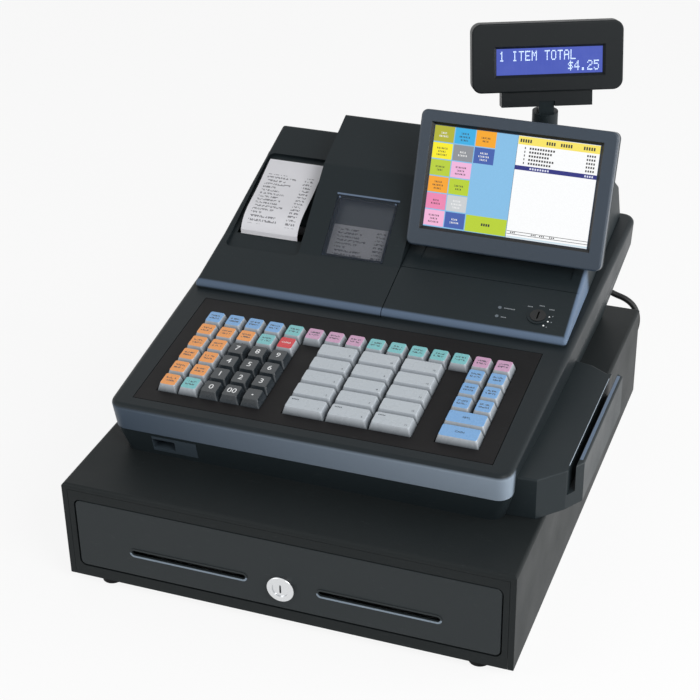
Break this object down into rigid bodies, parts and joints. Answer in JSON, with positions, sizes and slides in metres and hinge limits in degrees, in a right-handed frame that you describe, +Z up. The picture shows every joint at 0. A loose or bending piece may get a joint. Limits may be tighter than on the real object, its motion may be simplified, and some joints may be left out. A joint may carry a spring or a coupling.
{
  "type": "ticket register",
  "caption": "Electronic cash register with a full flat keyboard, tilting touch screen, paper printers, card reader and turning customer display, standing on a locking cash drawer.",
  "frame": {"origin": "under the middle of the whole footprint, on the surface that the feet stand on; the drawer's cable isn't counted", "axes": "+X to the cashier's right, +Y to the back, +Z up"},
  "size_m": [0.417, 0.49, 0.3867],
  "materials": {
    "cabinet_steel": "fine textured dark enamel",
    "drawer_panel": "fine textured dark enamel",
    "zinc_steel": "zinc plated",
    "foot_rubber": "matte",
    "till_plastic": "matte moulded",
    "clip_plastic": "matte moulded",
    "lock_chrome": "polished",
    "housing_plastic": "fine moulded grain",
    "deck_plastic": "fine moulded grain",
    "plate_plastic": "fine moulded grain",
    "numeric_key": "satin, engraved white digits",
    "red_key": "satin",
    "blue_key": "satin",
    "orange_key": "satin",
    "grey_key": "satin",
    "top_key": "satin, mixed colours",
    "window_plastic": "smoked clear",
    "lamp_lens": "clear",
    "insert_plastic": "matte moulded",
    "reader_plastic": "fine moulded grain",
    "bracket_steel": "satin black",
    "bezel_plastic": "satin slate blue",
    "lcd_glass": "bright display",
    "head_lens_blue": "blue character display",
    "paper_white": "thermal paper",
    "cable_black": "satin",
    "socket_black": "matte"
  },
  "bodies": {
    "register": {"cabinet_cover": "cabinet_steel", "cabinet_floor": "cabinet_steel", "front_frame": "cabinet_steel", "feet": "foot_rubber", "drawer_runners": "zinc_steel", "base_housing": "housing_plastic", "keyboard_deck": "deck_plastic", "key_plate": "plate_plastic", "right_hood": "housing_plastic", "status_leds": "lamp_lens", "card_slot_insert": "insert_plastic", "card_reader": "reader_plastic", "screen_bracket": "bracket_steel", "printer_frame": "zinc_steel", "journal_strip": "paper_white", "power_inlet": "socket_black", "drawer_cable": "cable_black", "cable_plug": "cable_black"},
    "drawer": {"drawer_tray": "zinc_steel", "drawer_front": "drawer_panel", "till_insert": "till_plastic", "lock_bezel": "lock_chrome"},
    "drawer_lock": {"lock_cylinder": "lock_chrome"},
    "cover": {"printer_cover": "housing_plastic", "journal_window": "window_plastic", "receipt_paper": "paper_white"},
    "receipt_reel": {"receipt_roll": "paper_white"},
    "journal_reel": {"journal_roll": "paper_white"},
    "screen": {"screen_back": "housing_plastic", "screen_bezel": "bezel_plastic", "lcd_panel": "lcd_glass"},
    "display_pole": {"pole": "housing_plastic"},
    "display_head": {"head_case": "housing_plastic", "head_lens": "head_lens_blue"},
    "mode_lock": {"mode_lock_rotor": "lock_chrome"},
    "power_rocker": {"rocker_switch": "socket_black"},
    "b_bill_clip_1": {"bill_clip_1": "clip_plastic"},
    "b_bill_clip_2": {"bill_clip_2": "clip_plastic"},
    "b_bill_clip_3": {"bill_clip_3": "clip_plastic"},
    "b_bill_clip_4": {"bill_clip_4": "clip_plastic"},
    "b_bill_clip_5": {"bill_clip_5": "clip_plastic"},
    "b_key_0": {"key_0": "numeric_key"},
    "b_key_00": {"key_00": "numeric_key"},
    "b_key_point": {"key_point": "numeric_key"},
    "b_key_1": {"key_1": "numeric_key"},
    "b_key_2": {"key_2": "numeric_key"},
    "b_key_3": {"key_3": "numeric_key"},
    "b_key_4": {"key_4": "numeric_key"},
    "b_key_5": {"key_5": "numeric_key"},
    "b_key_6": {"key_6": "numeric_key"},
    "b_key_7": {"key_7": "numeric_key"},
    "b_key_8": {"key_8": "numeric_key"},
    "b_key_9": {"key_9": "numeric_key"},
    "b_clear_key": {"clear_key": "red_key"},
    "b_subtotal_key": {"subtotal_key": "blue_key"},
    "b_cash_key": {"cash_key": "blue_key"},
    "b_top_row_keys": {"top_row_keys": "top_key"},
    "b_function_keys": {"function_keys": "orange_key"},
    "b_department_keys": {"department_keys": "grey_key"},
    "b_payment_keys": {"payment_keys": "blue_key"}
  },
  "joints": [
    {"name": "drawer_slide", "type": "slide", "parent": "register", "child": "drawer", "axis": [0, -1, 0], "range_m": [0, 0.33]},
    {"name": "drawer_lock_turn", "type": "hinge", "parent": "drawer", "child": "drawer_lock", "pos_m": [-0.0115, -0.23785, 0.0423], "axis": [0, -1, 0], "range_deg": [0, 90]},
    {"name": "bill_clip_1_lift", "type": "hinge", "parent": "drawer", "child": "b_bill_clip_1", "pos_m": [-0.15026, 0.08415, 0.0731], "axis": [-1, 0, 0], "range_deg": [0, 31], "stiffness_Nm_per_rad": 0.03, "springref_deg": -17.19},
    {"name": "bill_clip_2_lift", "type": "hinge", "parent": "drawer", "child": "b_bill_clip_2", "pos_m": [-0.08088, 0.08415, 0.0731], "axis": [-1, 0, 0], "range_deg": [0, 31], "stiffness_Nm_per_rad": 0.03, "springref_deg": -17.19},
    {"name": "bill_clip_3_lift", "type": "hinge", "parent": "drawer", "child": "b_bill_clip_3", "pos_m": [-0.0115, 0.08415, 0.0731], "axis": [-1, 0, 0], "range_deg": [0, 31], "stiffness_Nm_per_rad": 0.03, "springref_deg": -17.19},
    {"name": "bill_clip_4_lift", "type": "hinge", "parent": "drawer", "child": "b_bill_clip_4", "pos_m": [0.05788, 0.08415, 0.0731], "axis": [-1, 0, 0], "range_deg": [0, 31], "stiffness_Nm_per_rad": 0.03, "springref_deg": -17.19},
    {"name": "bill_clip_5_lift", "type": "hinge", "parent": "drawer", "child": "b_bill_clip_5", "pos_m": [0.12726, 0.08415, 0.0731], "axis": [-1, 0, 0], "range_deg": [0, 31], "stiffness_Nm_per_rad": 0.03, "springref_deg": -17.19},
    {"name": "key_0_press", "type": "slide", "parent": "register", "child": "b_key_0", "axis": [0, 0.1115, -0.9938], "range_m": [0, 0.0035], "stiffness_N_per_m": 250, "springref_m": -0.002},
    {"name": "key_00_press", "type": "slide", "parent": "register", "child": "b_key_00", "axis": [0, 0.1115, -0.9938], "range_m": [0, 0.0035], "stiffness_N_per_m": 250, "springref_m": -0.002},
    {"name": "key_point_press", "type": "slide", "parent": "register", "child": "b_key_point", "axis": [0, 0.1115, -0.9938], "range_m": [0, 0.0035], "stiffness_N_per_m": 250, "springref_m": -0.002},
    {"name": "key_1_press", "type": "slide", "parent": "register", "child": "b_key_1", "axis": [0, 0.1115, -0.9938], "range_m": [0, 0.0035], "stiffness_N_per_m": 250, "springref_m": -0.002},
    {"name": "key_2_press", "type": "slide", "parent": "register", "child": "b_key_2", "axis": [0, 0.1115, -0.9938], "range_m": [0, 0.0035], "stiffness_N_per_m": 250, "springref_m": -0.002},
    {"name": "key_3_press", "type": "slide", "parent": "register", "child": "b_key_3", "axis": [0, 0.1115, -0.9938], "range_m": [0, 0.0035], "stiffness_N_per_m": 250, "springref_m": -0.002},
    {"name": "key_4_press", "type": "slide", "parent": "register", "child": "b_key_4", "axis": [0, 0.1115, -0.9938], "range_m": [0, 0.0035], "stiffness_N_per_m": 250, "springref_m": -0.002},
    {"name": "key_5_press", "type": "slide", "parent": "register", "child": "b_key_5", "axis": [0, 0.1115, -0.9938], "range_m": [0, 0.0035], "stiffness_N_per_m": 250, "springref_m": -0.002},
    {"name": "key_6_press", "type": "slide", "parent": "register", "child": "b_key_6", "axis": [0, 0.1115, -0.9938], "range_m": [0, 0.0035], "stiffness_N_per_m": 250, "springref_m": -0.002},
    {"name": "key_7_press", "type": "slide", "parent": "register", "child": "b_key_7", "axis": [0, 0.1115, -0.9938], "range_m": [0, 0.0035], "stiffness_N_per_m": 250, "springref_m": -0.002},
    {"name": "key_8_press", "type": "slide", "parent": "register", "child": "b_key_8", "axis": [0, 0.1115, -0.9938], "range_m": [0, 0.0035], "stiffness_N_per_m": 250, "springref_m": -0.002},
    {"name": "key_9_press", "type": "slide", "parent": "register", "child": "b_key_9", "axis": [0, 0.1115, -0.9938], "range_m": [0, 0.0035], "stiffness_N_per_m": 250, "springref_m": -0.002},
    {"name": "clear_key_press", "type": "slide", "parent": "register", "child": "b_clear_key", "axis": [0, 0.1115, -0.9938], "range_m": [0, 0.0035], "stiffness_N_per_m": 250, "springref_m": -0.002},
    {"name": "subtotal_key_press", "type": "slide", "parent": "register", "child": "b_subtotal_key", "axis": [0, 0.1115, -0.9938], "range_m": [0, 0.0035], "stiffness_N_per_m": 250, "springref_m": -0.002},
    {"name": "cash_key_press", "type": "slide", "parent": "register", "child": "b_cash_key", "axis": [0, 0.1115, -0.9938], "range_m": [0, 0.0035], "stiffness_N_per_m": 250, "springref_m": -0.002},
    {"name": "top_row_keys_press", "type": "slide", "parent": "register", "child": "b_top_row_keys", "axis": [0, 0.1115, -0.9938], "range_m": [0, 0.0035], "stiffness_N_per_m": 1500, "springref_m": -0.002},
    {"name": "function_keys_press", "type": "slide", "parent": "register", "child": "b_function_keys", "axis": [0, 0.1115, -0.9938], "range_m": [0, 0.0035], "stiffness_N_per_m": 1500, "springref_m": -0.002},
    {"name": "department_keys_press", "type": "slide", "parent": "register", "child": "b_department_keys", "axis": [0, 0.1115, -0.9938], "range_m": [0, 0.0035], "stiffness_N_per_m": 1500, "springref_m": -0.002},
    {"name": "payment_keys_press", "type": "slide", "parent": "register", "child": "b_payment_keys", "axis": [0, 0.1115, -0.9938], "range_m": [0, 0.0035], "stiffness_N_per_m": 1500, "springref_m": -0.002},
    {"name": "printer_cover_hinge", "type": "hinge", "parent": "register", "child": "cover", "pos_m": [-0.0938, 0.21715, 0.19859], "axis": [-1, 0, 0], "range_deg": [0, 75]},
    {"name": "receipt_reel_spin", "type": "hinge", "parent": "register", "child": "receipt_reel", "pos_m": [-0.1383, 0.15777, 0.19154], "axis": [1, 0, 0], "continuous": true},
    {"name": "journal_reel_spin", "type": "hinge", "parent": "register", "child": "journal_reel", "pos_m": [-0.0603, 0.15777, 0.19154], "axis": [1, 0, 0], "continuous": true},
    {"name": "screen_tilt", "type": "hinge", "parent": "register", "child": "screen", "pos_m": [0.0832, 0.10513, 0.23605], "axis": [1, 0, 0], "range_deg": [-15, 6]},
    {"name": "display_swivel", "type": "hinge", "parent": "register", "child": "display_pole", "pos_m": [0.0863, 0.19495, 0.258], "axis": [0, 0, 1], "range_deg": [-60, 20]},
    {"name": "display_tilt", "type": "hinge", "parent": "display_pole", "child": "display_head", "pos_m": [0.0863, 0.19495, 0.3158], "axis": [0.9178, 0.3971, 0], "range_deg": [-10, 20]},
    {"name": "mode_lock_turn", "type": "hinge", "parent": "register", "child": "mode_lock", "pos_m": [0.1302, 0.02115, 0.18429], "axis": [0, -0.3022, 0.9532], "range_deg": [-142, 45]},
    {"name": "power_rocker_turn", "type": "hinge", "parent": "register", "child": "power_rocker", "pos_m": [-0.0858, 0.18915, 0.123], "axis": [1, 0, 0], "range_deg": [-18, 0]}
  ]
}
